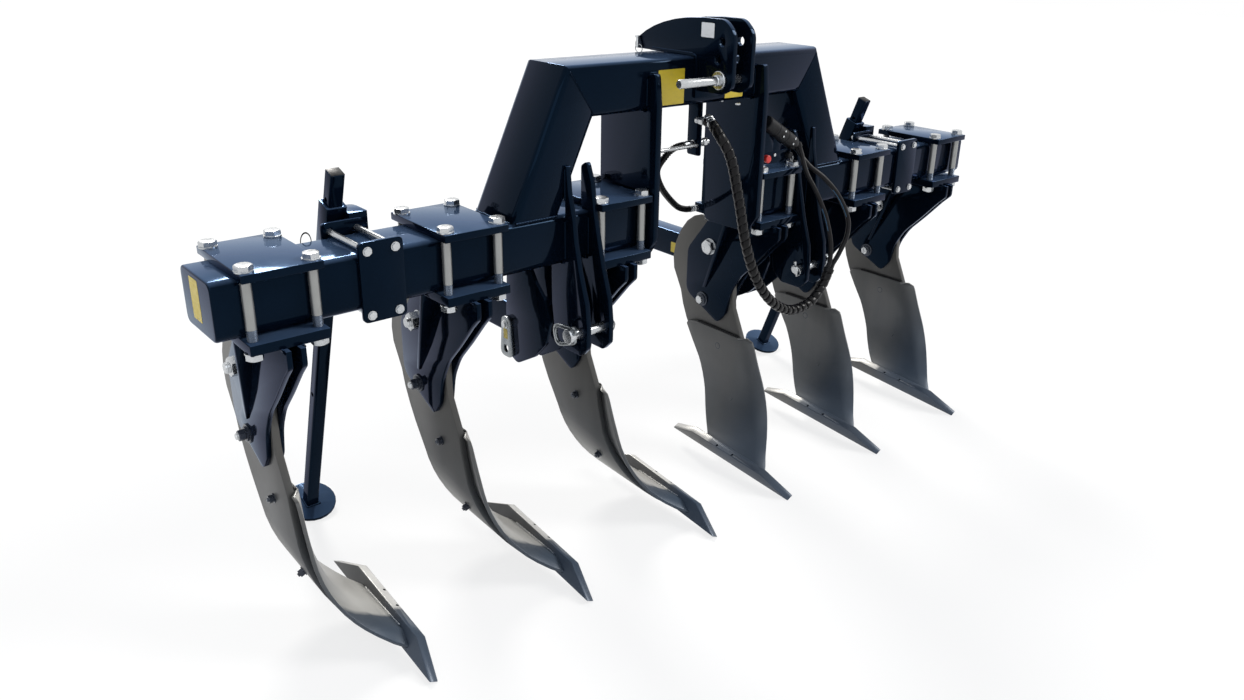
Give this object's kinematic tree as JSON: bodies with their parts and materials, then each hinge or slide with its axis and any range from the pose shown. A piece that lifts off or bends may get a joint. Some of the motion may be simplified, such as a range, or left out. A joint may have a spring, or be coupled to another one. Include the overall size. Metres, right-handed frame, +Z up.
{
  "type": "subsoiler",
  "caption": "Rigid tractor-mounted subsoiler: arched box-section frame, bent blade legs with reversible shares, three-point hitch plates and sliding parking stands.",
  "frame": {"origin": "on the ground, in the middle of the machine's width and depth (cords not counted)", "axes": "+X to the machine's left across its width, -Y the direction of travel (tractor side), +Z up"},
  "size_m": [2.918, 1.144, 1.5219],
  "materials": {
    "frame_paint": "gloss black-blue paint",
    "blade_grey": "satin grey on wear steel",
    "zinc": "bright zinc plate",
    "hose_black": "matt black hose cover"
  },
  "bodies": {
    "frame": {"arch_slope_left": "frame_paint", "arch_slope_right": "frame_paint", "arch_top_beam": "frame_paint", "clamp_l1": "frame_paint", "clamp_l2": "frame_paint", "clamp_l3": "frame_paint", "clamp_r1": "frame_paint", "clamp_r2": "frame_paint", "clamp_r3": "frame_paint", "coupling_holder": "frame_paint", "frame_beam_left": "frame_paint", "frame_beam_right": "frame_paint", "hitch_pin_left": "zinc", "hitch_pin_right": "zinc", "hitch_plate_left_inner": "frame_paint", "hitch_plate_left_outer": "frame_paint", "hitch_plate_right_inner": "frame_paint", "hitch_plate_right_outer": "frame_paint", "hose_bracket": "zinc", "hose_bundle": "hose_black", "hose_centre": "hose_black", "hose_upper_a": "hose_black", "hose_upper_b": "hose_black", "inner_plate_left": "frame_paint", "inner_plate_right": "frame_paint", "leg_bracket_l1": "frame_paint", "leg_bracket_l2": "frame_paint", "leg_bracket_l3": "frame_paint", "leg_bracket_r1": "frame_paint", "leg_bracket_r2": "frame_paint", "leg_bracket_r3": "frame_paint", "leg_l1": "blade_grey", "leg_l2": "blade_grey", "leg_l3": "blade_grey", "leg_r1": "blade_grey", "leg_r2": "blade_grey", "leg_r3": "blade_grey", "rear_arm_left": "frame_paint", "rear_arm_right": "frame_paint", "share_l1": "blade_grey", "share_l2": "blade_grey", "share_l3": "blade_grey", "share_r1": "blade_grey", "share_r2": "blade_grey", "share_r3": "blade_grey", "stand_clamp_left": "frame_paint", "stand_clamp_right": "frame_paint", "stand_holder_left": "frame_paint", "stand_holder_right": "frame_paint", "top_link_pin": "zinc", "top_link_plate_left": "frame_paint", "top_link_plate_right": "frame_paint", "wear_plate_l1": "blade_grey", "wear_plate_l2": "blade_grey", "wear_plate_l3": "blade_grey", "wear_plate_r1": "blade_grey", "wear_plate_r2": "blade_grey", "wear_plate_r3": "blade_grey"},
    "stand_left": {"parking_stand_left": "frame_paint"},
    "stand_right": {"parking_stand_right": "frame_paint"}
  },
  "joints": [
    {"name": "stand_slide_left", "type": "slide", "parent": "frame", "child": "stand_left", "axis": [0, -0.342, 0.9397], "range_m": [0, 0.45]},
    {"name": "stand_slide_right", "type": "slide", "parent": "frame", "child": "stand_right", "axis": [0, -0.342, 0.9397], "range_m": [0, 0.45]}
  ]
}
